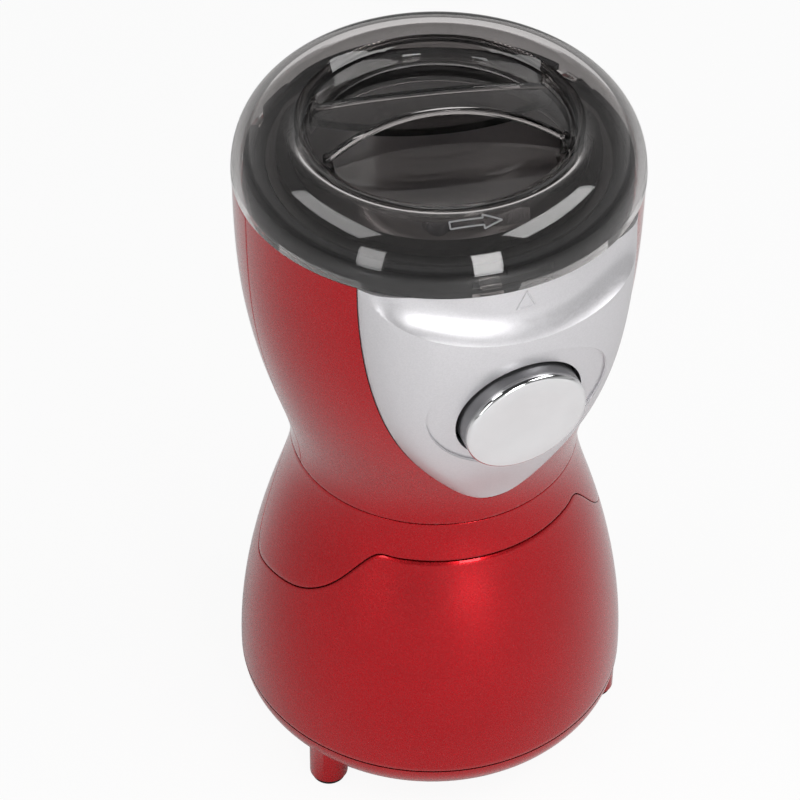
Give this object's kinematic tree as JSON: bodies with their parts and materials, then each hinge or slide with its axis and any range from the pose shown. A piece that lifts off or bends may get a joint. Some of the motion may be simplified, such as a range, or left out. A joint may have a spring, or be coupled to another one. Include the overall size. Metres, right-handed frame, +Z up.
{
  "type": "electric spice grinder",
  "caption": "Waisted countertop grinder with a clear turn-lock lid, a press button on a silver front panel, a steel bowl with a spinning blade and a motor in the base.",
  "frame": {"origin": "on the grinder's vertical axis, in the plane that the feet stand on", "axes": "+Z up along the axis of the bowl and spindle, -Y towards the control panel and button, +X to the right seen from the front"},
  "size_m": [0.1078, 0.1125, 0.2058],
  "materials": {
    "red_body": "metallic red lacquer",
    "silver_panel": "satin silver lacquer",
    "button_chrome": "polished",
    "clear_lid": "clear, smoke tint",
    "black_plastic": "fine grain",
    "black_rubber": "matt",
    "bowl_steel": "brushed",
    "blade_steel": "ground",
    "screw_steel": "zinc plated",
    "core_steel": "varnished sheet stack",
    "copper_wire": "enamelled copper wire",
    "bearing_bronze": "sintered bronze",
    "carbon": "carbon",
    "white_plastic": "matt",
    "board_green": "solder resist",
    "film_yellow": "smooth"
  },
  "bodies": {
    "housing": {"upper_front_shell": "red_body", "upper_rear_shell": "red_body", "control_panel": "silver_panel", "middle_collar": "red_body", "lower_shell": "red_body", "base_plate": "red_body", "rubber_feet": "black_rubber", "base_screws": "screw_steel", "bayonet_ring": "black_plastic", "bowl_holder": "black_plastic", "holder_screws": "screw_steel", "grinding_bowl": "bowl_steel", "shaft_seal": "black_rubber", "upper_bush": "bearing_bronze", "lower_bush": "bearing_bronze", "upper_motor_bracket": "black_plastic", "lower_motor_bracket": "black_plastic", "motor_dampers": "black_rubber", "motor_screws": "screw_steel", "motor_bolts": "screw_steel", "stator_core": "core_steel", "field_coils": "copper_wire", "carbon_brushes": "carbon", "brush_holders": "bearing_bronze", "button_spring": "screw_steel", "button_retainer": "black_plastic", "power_switch": "black_plastic", "switch_bracket": "screw_steel", "circuit_board": "board_green", "capacitor": "film_yellow", "bridge_rectifier": "black_plastic", "terminal_block": "white_plastic", "cord_inlet": "black_rubber"},
    "button": {"button_cap": "button_chrome"},
    "rotor": {"spindle": "screw_steel", "armature_core": "core_steel", "armature_windings": "copper_wire", "commutator": "copper_wire", "cooling_fan": "white_plastic", "blade": "blade_steel", "blade_hub": "screw_steel", "blade_nut": "screw_steel"},
    "seal_ring": {"lid_seal": "black_rubber"},
    "lid_body": {"lid": "clear_lid"}
  },
  "joints": [
    {"name": "button_push", "type": "slide", "parent": "housing", "child": "button", "axis": [0, 0.989, 0.1478], "range_m": [0, 0.0025], "stiffness_N_per_m": 600, "springref_m": -0.003, "deforming": ["button_spring"]},
    {"name": "blade_spin", "type": "hinge", "parent": "housing", "child": "rotor", "pos_m": [0, 0, 0.1], "axis": [0, 0, 1], "continuous": true},
    {"name": "lid_lift", "type": "slide", "parent": "housing", "child": "seal_ring", "axis": [0, 0, 1], "range_m": [0, 0.08]},
    {"name": "lid_turn", "type": "hinge", "parent": "seal_ring", "child": "lid_body", "pos_m": [0, 0, 0.19], "axis": [0, 0, 1], "range_deg": [0, 14.5]}
  ]
}
